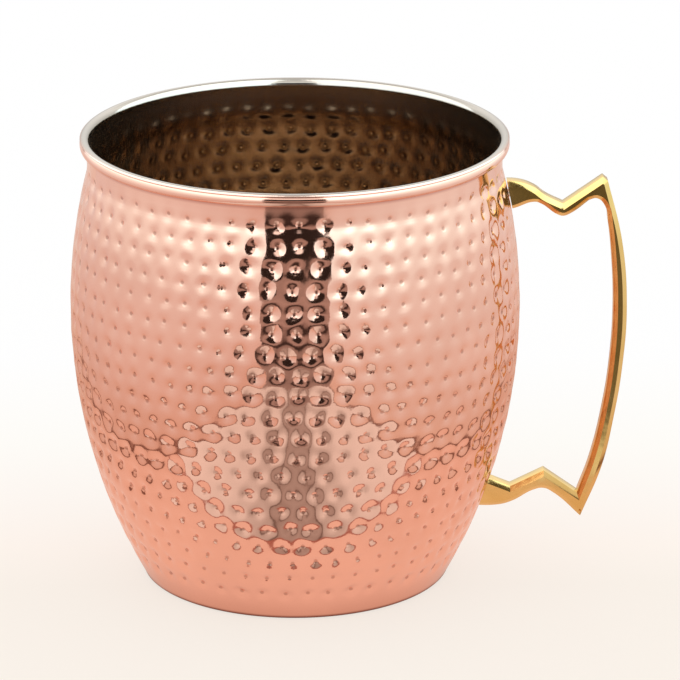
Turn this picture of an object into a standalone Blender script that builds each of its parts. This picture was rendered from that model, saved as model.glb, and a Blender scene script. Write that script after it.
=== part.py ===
"""Large copper barrel mug with a cast brass handle, modelled as its separate pieces.

Metres, +Z up. The origin is the centre of the base, on the mug's axis, and the handle points to +X.
Every length on the wall is worked out from the outer face of the copper sheet: one circular arc,
widest at the belly, ending in a small corner at the foot and a short straight neck under the rim.
"""

import math

import bmesh
import bpy
from mathutils import Vector

MM = 0.001

# The mug's outer shape
HEIGHT = 211.9 * MM
BELLY_RADIUS = 105.0 * MM
BELLY_HEIGHT = 128.0 * MM
BARREL_CURVE = 265.0 * MM      # radius of the arc that the side of the barrel follows
FOOT_CORNER = 2.5 * MM         # radius where the wall turns under
NECK_RADIUS = 95.9 * MM
NECK_START = 195.0 * MM
NECK_STRAIGHT = 200.5 * MM     # above this height the wall is upright

# Sheet and lining
SHEET = 0.9 * MM
PLATE = 0.45 * MM
PLATE_GAP = 0.25 * MM
FIT_GAP = 0.3 * MM
RIM_RADIUS = 99.06 * MM        # outermost point of the rolled rim
PLATE_REACH = 45.0             # degrees down the outside of the rim that the lining covers
CURL_END = -100.0              # degrees round the rim where the curled edge stops

# Base
BASE_EDGE = 68.9 * MM          # the wall's turned-under edge ends here
BASE_THICKNESS = 1.2 * MM
SOLDER_WIDTH = 2.6 * MM
SOLDER_HEIGHT = 1.0 * MM
LINING_FLOOR = 3.25 * MM       # height of the floor inside the mug
FLOOR_RADIUS = 67.5 * MM
FLOOR_FILLET_END = -27.0       # degrees on the barrel arc where the floor's fillet meets the wall

WIRE_RADIUS = 0.85 * MM

# Handle: a flat outline in the XZ plane, with chamfers along both sides
HANDLE_WIDTH = 10.5 * MM
HANDLE_CHAMFER = 2.0 * MM
FOOT_HEIGHTS = (183.0 * MM, 36.2 * MM)

# Fixing screws through the wall, and what sits under their heads
SHANK_RADIUS = 1.9 * MM
SCREW_REACH = 7.0 * MM         # into the handle, from the outer face of the wall
HEAD_RADIUS = 4.2 * MM
HEAD_HEIGHT = 2.6 * MM
WASHER_RADIUS = 6.0 * MM
WASHER_THICKNESS = 0.8 * MM
GASKET_RADIUS = 5.5 * MM
GASKET_THICKNESS = 1.0 * MM
GASKET_ROOM = 0.6 * MM         # a flat washer's edges reach further into the curved wall

TURN_STEPS = 48
WALL_STEPS = 10
SMALL_STEPS = 20

# Worked out from the sizes above
ARC_CENTRE = BELLY_RADIUS - BARREL_CURVE
INSIDE = SHEET + PLATE_GAP + PLATE
CORNER_RADIUS_AT = ARC_CENTRE + math.sqrt(
    (BARREL_CURVE - FOOT_CORNER) ** 2 - (BELLY_HEIGHT - FOOT_CORNER) ** 2
)
FOOT_ANGLE = -math.asin((BELLY_HEIGHT - FOOT_CORNER) / (BARREL_CURVE - FOOT_CORNER))
NECK_ANGLE = math.asin((NECK_START - BELLY_HEIGHT) / BARREL_CURVE)
CURL_CENTRE = (NECK_RADIUS - SHEET + RIM_RADIUS) / 2
CURL_HALF_WIDTH = (RIM_RADIUS - NECK_RADIUS + SHEET) / 2
CURL_HALF_HEIGHT = 2.7 * MM
CURL_HEIGHT = HEIGHT - PLATE - PLATE_GAP - CURL_HALF_HEIGHT


def clear_scene():
    for obj in list(bpy.data.objects):
        bpy.data.objects.remove(obj, do_unlink=True)


def new_collection(name):
    collection = bpy.data.collections.new(name)
    bpy.context.scene.collection.children.link(collection)
    return collection


def new_material(name, colour, roughness, metallic):
    material = bpy.data.materials.new(name)
    material.use_nodes = True
    shader = material.node_tree.nodes["Principled BSDF"]
    shader.inputs["Base Color"].default_value = (*colour, 1.0)
    shader.inputs["Roughness"].default_value = roughness
    shader.inputs["Metallic"].default_value = metallic
    return material


def add_object(name, mesh, collection, material=None):
    obj = bpy.data.objects.new(name, mesh)
    collection.objects.link(obj)
    if material:
        mesh.materials.append(material)
    return obj


def add_cutter(name, mesh):
    """A solid that only removes material from other pieces."""
    obj = add_object(name, mesh, cutters)
    obj.hide_render = True
    obj.display_type = "WIRE"
    return obj


def line_mesh(name, points, closed=False):
    """A profile in the XZ plane, as a chain of edges."""
    count = len(points)
    edges = [(i, i + 1) for i in range(count - 1)]
    if closed:
        edges.append((count - 1, 0))
    mesh = bpy.data.meshes.new(name)
    mesh.from_pydata([(r, 0.0, z) for r, z in points], edges, [])
    return mesh


def turn(obj, steps):
    """Turns a profile once round its object's Z axis."""
    screw = obj.modifiers.new("Turn", "SCREW")
    screw.axis = "Z"
    screw.steps = steps
    screw.render_steps = steps
    screw.use_merge_vertices = True
    screw.merge_threshold = 0.00001
    screw.use_smooth_shade = True


def thicken(obj, thickness):
    """Gives the turned sheet its metal, behind the face that the profile draws."""
    solid = obj.modifiers.new("Sheet", "SOLIDIFY")
    solid.thickness = thickness
    solid.offset = -1.0
    solid.use_even_offset = True
    solid.use_quality_normals = True


def cut(obj, cutter):
    boolean = obj.modifiers.new("Cut " + cutter.name, "BOOLEAN")
    boolean.operation = "DIFFERENCE"
    boolean.solver = "EXACT"
    boolean.object = cutter


def wall_point(angle, depth):
    """The point this deep behind the barrel's outer face, at this angle on its arc."""
    radius = BARREL_CURVE - depth
    return ARC_CENTRE + radius * math.cos(angle), BELLY_HEIGHT + radius * math.sin(angle)


def spread(start, end, count):
    return [start + (end - start) * i / count for i in range(count + 1)]


def bend(start, corner, end, count):
    """Points along a smooth bend from start to end that leans on the corner between them."""
    points = []
    for t in spread(0.0, 1.0, count):
        points.append(tuple(
            a * (1 - t) ** 2 + 2 * b * t * (1 - t) + c * t ** 2
            for a, b, c in zip(start, corner, end)
        ))
    return points


def barrel_side(depth, first_angle):
    """The wall from first_angle up to the top of the neck, this deep behind its outer face."""
    points = [wall_point(a, depth) for a in spread(first_angle, NECK_ANGLE, WALL_STEPS)]
    radius, height = points[-1]
    upright = NECK_RADIUS - depth
    corner = (upright, height + (radius - upright) / math.tan(NECK_ANGLE))
    return points + bend((radius, height), corner, (upright, NECK_STRAIGHT), 2)[1:]


def rim_curl(proud, last_angle, count):
    """The rolled rim from the top of the neck over its crest, this far proud of the copper."""
    points = []
    for degrees in spread(180.0, last_angle, count):
        angle = math.radians(degrees)
        points.append((
            CURL_CENTRE + (CURL_HALF_WIDTH + proud) * math.cos(angle),
            CURL_HEIGHT + (CURL_HALF_HEIGHT + proud) * math.sin(angle),
        ))
    return points


def foot_corner(radius, last_angle):
    """The wall's turned-under corner, from the floor side up to the barrel arc."""
    return [
        (CORNER_RADIUS_AT + radius * math.cos(a), FOOT_CORNER + radius * math.sin(a))
        for a in spread(-math.pi / 2, last_angle, 2)
    ]


def make_body_shell():
    inner_corner = foot_corner(FOOT_CORNER - SHEET, FOOT_ANGLE)
    profile = [(BASE_EDGE, SHEET)] + inner_corner
    profile += barrel_side(SHEET, FOOT_ANGLE)[1:]
    profile += rim_curl(0.0, CURL_END, 9)
    obj = add_object("body_shell", line_mesh("body_shell", profile), parts, copper)
    turn(obj, TURN_STEPS)
    thicken(obj, SHEET)
    return obj


def make_lining():
    fillet_angle = math.radians(FLOOR_FILLET_END)
    wall = barrel_side(INSIDE, fillet_angle)
    radius, height = wall[0]
    corner = (radius + (height - LINING_FLOOR) * math.tan(fillet_angle), LINING_FLOOR)
    profile = [(0.0, LINING_FLOOR)]
    profile += bend((FLOOR_RADIUS, LINING_FLOOR), corner, wall[0], 3)
    profile += wall[1:]
    profile += rim_curl(PLATE_GAP + PLATE, PLATE_REACH, 5)
    obj = add_object("lining", line_mesh("lining", profile), parts, nickel)
    turn(obj, TURN_STEPS)
    thicken(obj, PLATE)
    return obj


def make_base():
    outline = [
        (0.0, BASE_THICKNESS),
        (BASE_EDGE - FIT_GAP, BASE_THICKNESS),
        (BASE_EDGE - FIT_GAP, 0.0),
        (0.0, 0.0),
    ]
    disc = add_object("base_disc", line_mesh("base_disc", outline), parts, copper)
    turn(disc, TURN_STEPS)

    outer = CORNER_RADIUS_AT
    bottom = BASE_THICKNESS + FIT_GAP
    fillet = [
        (outer, bottom + SOLDER_HEIGHT),
        (outer - FIT_GAP, bottom),
        (outer - SOLDER_WIDTH, bottom),
    ]
    ring = add_object("base_solder", line_mesh("base_solder", fillet, True), parts, solder)
    turn(ring, TURN_STEPS)


def make_rim_wire():
    bpy.ops.mesh.primitive_torus_add(
        location=(0.0, 0.0, CURL_HEIGHT),
        major_radius=CURL_CENTRE,
        minor_radius=WIRE_RADIUS,
        major_segments=TURN_STEPS,
        minor_segments=6,
    )
    wire = bpy.context.object
    wire.name = "rim_wire"
    for collection in list(wire.users_collection):
        collection.objects.unlink(wire)
    parts.objects.link(wire)
    wire.data.materials.append(steel)
    wire.data.shade_smooth()


def handle_outline():
    """(x, z, kind) round the handle in millimetres. Corners are V, smooth points are A."""
    upper_edge = [
        (92, 189.0, "V"), (103, 189.0, "A"), (110.5, 186.4, "A"), (116, 182.4, "A"),
        (124.1, 178.4, "V"), (142.3, 191.2, "V"), (144.7, 189.3, "V"),
    ]
    grip_outside = [
        (151.9, 160, "A"), (154.7, 128, "A"), (153.3, 100, "A"), (149.7, 74, "A"), (144.4, 49, "A"),
    ]
    lower_edge = [
        (134.7, 24.0, "V"), (121.5, 35.9, "A"), (117, 38.0, "A"), (112.5, 37.2, "A"),
        (102, 31.5, "A"), (96, 29.8, "A"), (80, 29.8, "V"),
    ]
    lower_gap_side = [
        (80, 47.6, "V"), (101.3, 38.9, "V"), (117.1, 46.8, "V"), (132.9, 35.6, "V"),
    ]
    grip_inside = [
        (138.8, 53, "A"), (144.2, 78, "A"), (147.3, 102, "A"), (148.4, 128, "A"),
        (147.1, 153, "A"), (145.2, 169, "A"), (143.4, 177.6, "A"), (139.8, 181.0, "A"),
    ]
    upper_gap_side = [
        (136.2, 180.3, "V"), (127, 173.5, "A"), (124.2, 172.6, "A"), (121.8, 173.2, "A"),
        (113.8, 178.6, "A"), (111, 179.4, "A"), (101.3, 176.4, "A"), (92, 174.6, "V"),
    ]
    return (
        upper_edge + grip_outside + lower_edge + lower_gap_side + grip_inside + upper_gap_side
    )


def flat_outline(name, points, thickness):
    """A filled 2D curve standing in the XZ plane, made into one closed mesh."""
    curve = bpy.data.curves.new(name, "CURVE")
    curve.dimensions = "2D"
    curve.fill_mode = "BOTH"
    curve.extrude = thickness / 2
    curve.resolution_u = 4
    spline = curve.splines.new("BEZIER")
    spline.bezier_points.add(len(points) - 1)
    spline.use_cyclic_u = True
    handle_types = {"V": "VECTOR", "A": "AUTO"}
    for knot, (x, z, kind) in zip(spline.bezier_points, points):
        knot.co = (x * MM, z * MM, 0.0)
        knot.handle_left_type = handle_types[kind]
        knot.handle_right_type = handle_types[kind]
    guide = bpy.data.objects.new(name, curve)
    cutters.objects.link(guide)
    guide.rotation_euler = (math.pi / 2, 0.0, 0.0)
    bpy.context.view_layer.update()
    graph = bpy.context.evaluated_depsgraph_get()
    mesh = bpy.data.meshes.new_from_object(guide.evaluated_get(graph))
    placed = guide.matrix_world.copy()
    bpy.data.objects.remove(guide)
    bpy.data.curves.remove(curve)
    return mesh, placed


def chamfer_sides(mesh, width):
    """Welds the caps, then chamfers the edges that run round both flat sides."""
    work = bmesh.new()
    work.from_mesh(mesh)
    bmesh.ops.remove_doubles(work, verts=work.verts, dist=0.00001)
    bmesh.ops.dissolve_limit(
        work, angle_limit=0.002, verts=work.verts, edges=work.edges
    )
    rims = [
        edge for edge in work.edges
        if edge.is_manifold and edge.calc_face_angle() > 1.0
        and abs(edge.verts[0].co.z - edge.verts[1].co.z) < 1e-6
    ]
    bmesh.ops.bevel(
        work, geom=rims, offset=width, offset_type="OFFSET", segments=1, profile=0.5,
        affect="EDGES", clamp_overlap=False,
    )
    bmesh.ops.recalc_face_normals(work, faces=work.faces)
    work.to_mesh(mesh)
    work.free()


def make_handle():
    mesh, placed = flat_outline("handle", handle_outline(), HANDLE_WIDTH)
    chamfer_sides(mesh, HANDLE_CHAMFER)
    handle = add_object("handle", mesh, parts, brass)
    handle.matrix_world = placed

    # The feet are filed to the barrel, a fitting gap away from it.
    side = barrel_side(-FIT_GAP, FOOT_ANGLE)
    profile = [(0.0, side[-1][1])] + side[::-1] + [(0.0, side[0][1])]
    barrel = add_cutter("barrel_cutter", line_mesh("barrel_cutter", profile))
    turn(barrel, TURN_STEPS)
    cut(handle, barrel)
    return handle


def rod_mesh(name, radius, low, high):
    work = bmesh.new()
    bmesh.ops.create_cone(
        work, cap_ends=True, segments=SMALL_STEPS, radius1=radius, radius2=radius, depth=high - low
    )
    bmesh.ops.translate(work, vec=Vector((0.0, 0.0, (low + high) / 2)), verts=work.verts)
    mesh = bpy.data.meshes.new(name)
    work.to_mesh(mesh)
    work.free()
    return mesh


def place_on_wall(obj, height):
    """Stands the object's Z axis on the barrel's outer face at this height, pointing inwards."""
    angle = math.asin((height - BELLY_HEIGHT) / BARREL_CURVE)
    radius, _ = wall_point(angle, 0.0)
    obj.location = (radius, 0.0, height)
    obj.rotation_euler = (0.0, math.atan2(-math.cos(angle), -math.sin(angle)), 0.0)


def washer(name, radius, bottom, thickness, material, height):
    inside = SHANK_RADIUS + FIT_GAP
    top = bottom + thickness
    outline = [(radius, top), (radius, bottom), (inside, bottom), (inside, top)]
    obj = add_object(name, line_mesh(name, outline, True), parts, material)
    turn(obj, SMALL_STEPS)
    place_on_wall(obj, height)


def make_fixing(position, height, pierced):
    """One screw with its gasket and washer, and the holes it passes through."""
    gasket_bottom = INSIDE + GASKET_ROOM
    washer_bottom = gasket_bottom + GASKET_THICKNESS + FIT_GAP
    head_bottom = washer_bottom + WASHER_THICKNESS + FIT_GAP
    washer(position + "_gasket", GASKET_RADIUS, gasket_bottom, GASKET_THICKNESS, silicone, height)
    washer(position + "_washer", WASHER_RADIUS, washer_bottom, WASHER_THICKNESS, nickel, height)

    dome = [
        (HEAD_RADIUS * math.sin(a), head_bottom + HEAD_HEIGHT * math.cos(a))
        for a in spread(0.0, math.pi / 2, 4)
    ]
    shank = [(SHANK_RADIUS, head_bottom), (SHANK_RADIUS, -SCREW_REACH), (0.0, -SCREW_REACH)]
    name = position + "_screw"
    screw = add_object(name, line_mesh(name, dome + shank), parts, nickel)
    turn(screw, SMALL_STEPS)
    place_on_wall(screw, height)

    depth = SCREW_REACH + FIT_GAP
    drill_name = position + "_drill"
    drill = add_cutter(
        drill_name, rod_mesh(drill_name, SHANK_RADIUS + FIT_GAP, -depth, head_bottom)
    )
    place_on_wall(drill, height)
    for piece in pierced:
        cut(piece, drill)


clear_scene()
parts = new_collection("copper_mug")
cutters = new_collection("cutters")

copper = new_material("copper", (0.86, 0.46, 0.34), 0.18, 1.0)
brass = new_material("brass", (0.80, 0.57, 0.20), 0.16, 1.0)
nickel = new_material("nickel", (0.66, 0.61, 0.55), 0.2, 1.0)
steel = new_material("steel", (0.55, 0.55, 0.56), 0.35, 1.0)
solder = new_material("solder", (0.62, 0.62, 0.60), 0.45, 1.0)
silicone = new_material("silicone", (0.82, 0.81, 0.78), 0.6, 0.0)

body_shell = make_body_shell()
lining = make_lining()
make_base()
make_rim_wire()
handle = make_handle()
for position, height in zip(("upper", "lower"), FOOT_HEIGHTS):
    make_fixing(position, height, (body_shell, lining, handle))
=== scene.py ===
"""The hammered copper mug as it looks: built round its CAD frame, in the order it is put together.

Metres, +Z up, the origin at the centre of the base and the handle towards +X. The copper sheet and
its lining share one pattern of hammer blows, made by a Geometry Nodes tree.
"""

import math

import bmesh
import bpy
from mathutils import Euler, Matrix, Vector


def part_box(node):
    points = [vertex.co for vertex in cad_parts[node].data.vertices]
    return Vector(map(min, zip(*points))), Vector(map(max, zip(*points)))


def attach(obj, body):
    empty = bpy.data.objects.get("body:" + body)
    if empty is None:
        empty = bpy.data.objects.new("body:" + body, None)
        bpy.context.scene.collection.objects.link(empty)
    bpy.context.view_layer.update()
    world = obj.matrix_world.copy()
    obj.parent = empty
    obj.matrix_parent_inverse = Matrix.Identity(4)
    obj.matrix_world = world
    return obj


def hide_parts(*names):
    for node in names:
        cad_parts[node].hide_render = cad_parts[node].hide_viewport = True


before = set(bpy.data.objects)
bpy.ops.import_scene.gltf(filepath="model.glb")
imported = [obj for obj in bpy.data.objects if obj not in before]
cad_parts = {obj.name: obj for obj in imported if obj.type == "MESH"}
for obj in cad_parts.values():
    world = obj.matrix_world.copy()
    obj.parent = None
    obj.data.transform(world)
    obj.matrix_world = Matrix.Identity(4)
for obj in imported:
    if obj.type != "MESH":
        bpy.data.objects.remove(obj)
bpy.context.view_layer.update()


# ---- Camera ----------------------------------------------------------------
# A long lens two metres away, nineteen degrees above the table. The handle is to the right, so
# the aim is a little to that side of the mug's axis.

LENS = 228.95
CAMERA_DISTANCE = 2.0262
CAMERA_ELEVATION = math.radians(18.87)
MUG_MIDDLE = Vector((0.0, 0.0, 0.1059))
AIM = Vector((0.0209, 0.0016, 0.1106))

camera = bpy.data.objects.new("camera", bpy.data.cameras.new("camera"))
bpy.context.scene.collection.objects.link(camera)
camera.data.lens = LENS
camera.data.clip_end = 50.0
camera.location = MUG_MIDDLE + CAMERA_DISTANCE * Vector(
    (0.0, -math.cos(CAMERA_ELEVATION), math.sin(CAMERA_ELEVATION))
)
camera.rotation_euler = (AIM - camera.location).to_track_quat("-Z", "Y").to_euler()
bpy.context.scene.camera = camera
bpy.context.scene.view_settings.view_transform = "Standard"


# ---- Studio ----------------------------------------------------------------
# A white sweep of floor under an even white tent. The polished metal sees two tall soft panels
# with a dark gap between them, a warm table top near the mug and a pale card on it in the gap.

WHITE = (1.0, 1.0, 1.0)
TABLE_SIZE = 14.0
TABLE_FRONT = -0.03
PAPER_SHARE = 0.22                # of the table's light, what it takes from the tent
WARM_TABLE_REACH = 4.0
WARM_TABLE_HEIGHT = 0.0005
BEHIND_DIMMING = 0.85             # how much light the warm table loses straight behind the mug
CARD_HEIGHT = 0.001
CARD_BACK = -0.115
CARD_BACK_SHARE = 0.93            # the card's width at its back, of the panels' distance there
DARK_FLOOR_END = (1.8, -6.0)
PANEL_HEIGHT = 2.2
# Where the right panel stands on the table, from its front edge past its fold to its back edge.
PANEL_FOOT = ((0.104, -0.40), (0.187, -0.066), (0.28, 0.25))
PANEL_TINT = {"left": (1.02, 1.02, 1.02), "right": (1.06, 1.14, 1.16)}
GAP_SIDES = (math.radians(21.0), math.radians(24.0))
GAP_TOP = (0.38, 0.50)


def add_node(tree, kind, *values, **options):
    """Adds a node, sets its options, and fills its shown inputs in order. None leaves one alone."""
    node = tree.nodes.new(kind)
    for option, value in options.items():
        setattr(node, option, value)
    shown = [socket for socket in node.inputs if socket.enabled]
    for socket, value in zip(shown, values):
        if isinstance(value, bpy.types.NodeSocket):
            tree.links.new(value, socket)
        elif value is not None:
            socket.default_value = value
    return [socket for socket in node.outputs if socket.enabled][0]


def maths(tree, operation, *values):
    return add_node(tree, "ShaderNodeMath", *values, operation=operation)


def vector_maths(tree, operation, *values):
    return add_node(tree, "ShaderNodeVectorMath", *values, operation=operation)


def smooth_range(tree, value, low, high, result_low=0.0, result_high=1.0):
    return add_node(
        tree, "ShaderNodeMapRange", value, low, high, result_low, result_high,
        interpolation_type="SMOOTHSTEP",
    )


def mix_colours(tree, share, first, second):
    node = tree.nodes.new("ShaderNodeMix")
    node.data_type = "RGBA"
    inputs = [node.inputs[0]] + [socket for socket in node.inputs if socket.type == "RGBA"]
    for socket, value in zip(inputs, (share, first, second)):
        if isinstance(value, bpy.types.NodeSocket):
            tree.links.new(value, socket)
        elif isinstance(value, tuple):
            socket.default_value = (*value, 1.0)
        else:
            socket.default_value = value
    return [socket for socket in node.outputs if socket.type == "RGBA"][0]


def blend_steps(tree, value, steps):
    """A colour that changes with a value, through steps of (value, colour)."""
    lowest, highest = steps[0][0], steps[-1][0]
    span = highest - lowest
    share = add_node(tree, "ShaderNodeMapRange", value, lowest, highest, 0.0, 1.0)
    ramp = tree.nodes.new("ShaderNodeValToRGB")
    tree.links.new(share, ramp.inputs["Fac"])
    stops = ramp.color_ramp.elements
    while len(stops) < len(steps):
        stops.new(1.0)
    for stop, (at, colour) in zip(stops, steps):
        stop.position = (at - lowest) / span
        stop.color = (*colour, 1.0)
    return ramp.outputs["Color"]


def new_material(name):
    """A material with an empty tree and its output node."""
    material = bpy.data.materials.new(name)
    material.use_nodes = True
    material.node_tree.nodes.clear()
    output = material.node_tree.nodes.new("ShaderNodeOutputMaterial")
    return material, material.node_tree, output


def object_place(tree):
    """The surface point on the piece's own coordinates, in metres."""
    node = tree.nodes.new("ShaderNodeTexCoord")
    return node.outputs["Object"]


def split_place(tree, place):
    node = tree.nodes.new("ShaderNodeSeparateXYZ")
    tree.links.new(place, node.inputs[0])
    return node.outputs


def add_stage(name, points, faces, material, only_in_metal):
    """A flat piece of studio. Only the polished metal sees it where only_in_metal is set."""
    mesh = bpy.data.meshes.new(name)
    mesh.from_pydata(points, [], faces)
    mesh.materials.append(material)
    obj = bpy.data.objects.new(name, mesh)
    bpy.context.scene.collection.objects.link(obj)
    if only_in_metal:
        obj.visible_camera = False
        obj.visible_diffuse = False
        obj.visible_shadow = False
        obj.visible_transmission = False
    return obj


def square(half, height):
    return [(-half, -half, height), (half, -half, height), (half, half, height), (-half, half, height)]


def table_material():
    """White paper, a little creamier in front of the mug. It glows, so it holds little shadow."""
    material, tree, output = new_material("table paper")
    place = object_place(tree)
    across = split_place(tree, place)
    cream = blend_steps(tree, across["Y"], (
        (TABLE_FRONT, (0.965, 0.905, 0.835)), (0.02, (1.0, 0.93, 0.865)),
        (0.09, (1.0, 0.955, 0.91)), (0.16, (1.0, 0.985, 0.945)), (0.30, WHITE),
    ))
    distance = vector_maths(tree, "LENGTH", place).node.outputs["Value"]
    far = smooth_range(tree, distance, 0.35, 0.9)
    tint = mix_colours(tree, far, cream, WHITE)
    glow = add_node(tree, "ShaderNodeEmission", tint, 1.0)
    paper = add_node(tree, "ShaderNodeBsdfDiffuse", tint)
    both = add_node(tree, "ShaderNodeMixShader", PAPER_SHARE, glow, paper)
    tree.links.new(both, output.inputs["Surface"])
    return material


table = add_stage("table", square(TABLE_SIZE / 2, 0.0), [(0, 1, 2, 3)], table_material(), False)
table.visible_glossy = False


def glowing_material(name, colour_of, *details):
    """A material that only glows, with the colour that a function of its tree gives."""
    material, tree, output = new_material(name)
    glow = add_node(tree, "ShaderNodeEmission", *colour_of(tree, *details))
    tree.links.new(glow, output.inputs["Surface"])
    return material


def warm_table_glow(tree):
    """The table as the metal sees it: lit warm by the copper, paler further out, with a painted
    shadow in a thin ring round the mug's foot.
    """
    place = object_place(tree)
    distance = vector_maths(tree, "LENGTH", place).node.outputs["Value"]
    tint = blend_steps(tree, distance, (
        (0.068, (0.10, 0.04, 0.03)), (0.0712, (0.16, 0.07, 0.05)), (0.0735, (0.72, 0.48, 0.40)),
        (0.082, (0.88, 0.62, 0.53)), (0.10, (0.92, 0.65, 0.55)), (0.17, (0.88, 0.61, 0.51)),
        (0.25, (0.76, 0.48, 0.37)), (0.36, (0.76, 0.49, 0.38)), (0.60, (0.85, 0.68, 0.60)),
        (1.5, (0.86, 0.80, 0.78)),
    ))
    at = split_place(tree, place)
    behind = maths(
        tree, "MULTIPLY", smooth_range(tree, at["Y"], 0.52, 0.70),
        smooth_range(tree, maths(tree, "ABSOLUTE", at["X"]), 0.078, 0.090, 1.0, 0.0),
    )
    return tint, maths(tree, "MULTIPLY_ADD", behind, -BEHIND_DIMMING, 1.0)


add_stage(
    "warm_table", square(WARM_TABLE_REACH, WARM_TABLE_HEIGHT), [(0, 1, 2, 3)],
    glowing_material("warm table", warm_table_glow), True,
)


def pale_card_glow(tree):
    """A pale card on the table in front of the mug, with a duller strip along its middle and a
    painted shadow along its back edge, by the mug.
    """
    across = split_place(tree, object_place(tree))
    strips = blend_steps(tree, maths(tree, "ABSOLUTE", across["X"]), (
        (0.0, (0.46, 0.39, 0.36)), (0.016, (0.40, 0.33, 0.30)), (0.020, (0.15, 0.10, 0.085)),
        (0.025, (0.54, 0.49, 0.46)), (0.07, (0.82, 0.78, 0.75)), (0.16, (0.92, 0.87, 0.84)),
    ))
    # Painted shadow along the card's back edge, next to the mug.
    painted_back_shadow = smooth_range(tree, across["Y"], CARD_BACK - 0.008, CARD_BACK - 0.003)
    return mix_colours(tree, painted_back_shadow, strips, (0.42, 0.16, 0.12)), 1.0


def dark_floor_glow(tree):
    """The unlit floor beyond the card, in the gap between the panels."""
    across = split_place(tree, object_place(tree))
    tint = blend_steps(tree, across["Y"], (
        (-6.0, (0.38, 0.28, 0.25)), (-2.6, (0.46, 0.34, 0.305)), (-1.3, (0.40, 0.295, 0.26)),
        (-0.95, (0.19, 0.13, 0.115)), (-0.82, (0.04, 0.024, 0.02)), (-0.64, (0.04, 0.024, 0.02)),
        (-0.54, (0.32, 0.235, 0.21)), (-0.40, (0.36, 0.27, 0.24)),
    ))
    return tint, 1.0


def strip_corners(front, back):
    """A strip lying on the table and centred on the mug, from (half its width, y) at each end."""
    (front_x, front_y), (back_x, back_y) = front, back
    return [
        (-front_x, front_y, CARD_HEIGHT), (front_x, front_y, CARD_HEIGHT),
        (back_x, back_y, CARD_HEIGHT), (-back_x, back_y, CARD_HEIGHT),
    ]


(near_x, near_y), (side_x, _), _ = PANEL_FOOT
add_stage(
    "pale_card", strip_corners((near_x, near_y), (side_x * CARD_BACK_SHARE, CARD_BACK)),
    [(0, 1, 2, 3)], glowing_material("pale card", pale_card_glow), True,
)
add_stage(
    "dark_floor", strip_corners(DARK_FLOOR_END, (near_x * 1.02, near_y)),
    [(0, 1, 2, 3)], glowing_material("dark floor", dark_floor_glow), True,
)


def panel_glow(tree, side):
    """A soft panel: warm and dim at its foot, brightest above the mug's rim."""
    up = split_place(tree, object_place(tree))["Z"]
    steps = []
    for height, glow in (
        (0.0, (0.16, 0.07, 0.05)), (0.008, (0.24, 0.11, 0.08)), (0.014, (0.74, 0.50, 0.41)),
        (0.08, (0.79, 0.63, 0.59)), (0.15, (0.84, 0.76, 0.75)), (0.205, (1.04, 1.12, 1.14)),
        (0.28, (1.85, 2.0, 2.1)), (0.60, (2.1, 2.1, 2.1)),
    ):
        steps.append((height, tuple(part * tint for part, tint in zip(glow, PANEL_TINT[side]))))
    return blend_steps(tree, up, steps), 1.0


soft_panels = {}
for side, sign in (("left", -1.0), ("right", 1.0)):
    glow = glowing_material(side + " panel", panel_glow, side)
    for part, (first, last) in (("front", PANEL_FOOT[:2]), ("back", PANEL_FOOT[1:])):
        corners = [(sign * x, y, height) for height in (0.0, PANEL_HEIGHT) for x, y in (first, last)]
        soft_panels[side, part] = add_stage(
            side + "_panel_" + part, corners, [(0, 1, 3, 2)], glow, True
        )


def tent_world():
    """White to the eye and to the table. Metal sees the tent, dark low down between the panels."""
    world = bpy.data.worlds.new("tent")
    world.use_nodes = True
    tree = world.node_tree
    tree.nodes.clear()
    output = tree.nodes.new("ShaderNodeOutputWorld")
    coordinate = tree.nodes.new("ShaderNodeTexCoord")
    way = split_place(tree, coordinate.outputs["Generated"])
    sideways = maths(tree, "ARCTAN2", way["X"], maths(tree, "MULTIPLY", way["Y"], -1.0))
    off_gap = smooth_range(tree, maths(tree, "ABSOLUTE", sideways), *GAP_SIDES)
    up = smooth_range(tree, way["Z"], *GAP_TOP)
    lit = maths(tree, "MAXIMUM", off_gap, up)
    tent = blend_steps(tree, way["Z"], (
        (0.0, (0.60, 0.58, 0.56)), (0.15, (0.90, 0.90, 0.90)), (0.5, (1.30, 1.30, 1.30)),
        (0.75, (0.90, 0.90, 0.90)), (1.0, (0.75, 0.75, 0.75)),
    ))
    gap = blend_steps(tree, way["Z"], (
        (0.0, (0.38, 0.28, 0.25)), (0.05, (0.38, 0.28, 0.25)), (0.065, (0.024, 0.016, 0.013)),
        (0.50, (0.024, 0.016, 0.013)),
    ))
    seen = mix_colours(tree, lit, gap, tent)
    rays = tree.nodes.new("ShaderNodeLightPath")
    colour = mix_colours(tree, rays.outputs["Is Glossy Ray"], WHITE, seen)
    background = add_node(tree, "ShaderNodeBackground", colour, 1.0)
    tree.links.new(background, output.inputs["Surface"])
    bpy.context.scene.world = world


tent_world()


# ---- Hammered wall -----------------------------------------------------------
# One copper sheet drawn into a barrel, turned under at the foot and rolled outwards at the rim.
# Twenty rows of punch blows run round it, each a shallow cone with a small pit at its middle.

MM = 0.001
COPPER_TONES = ((0.90, 0.535, 0.41), (0.94, 0.56, 0.43))
# Painted shade: the crease and foot colours below, and part of the pit colour.
GROOVE_SHADE = (0.50, 0.20, 0.15)
FOOT_SHADOW = (0.22, 0.07, 0.05)
PIT_RESIDUE_AND_SHADE = (0.63, 0.35, 0.26)
COPPER_ROUGHNESS = 0.09
COPPER_GRAIN = 0.01 * MM

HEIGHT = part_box("lining")[1].z
BELLY_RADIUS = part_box("body_shell")[1].y
BELLY_HEIGHT = 128.0 * MM
BARREL_CURVE = 265.0 * MM
FOOT_CORNER = 2.5 * MM
NECK_RADIUS = 95.9 * MM
NECK_START = 195.0 * MM
NECK_STRAIGHT = 200.5 * MM
SHEET = 0.9 * MM
PLATE = 0.45 * MM
PLATE_GAP = 0.25 * MM
RIM_RADIUS = 99.06 * MM
CURL_HALF_HEIGHT = 2.7 * MM
CURL_END = -100.0
BASE_EDGE = 68.9 * MM

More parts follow.
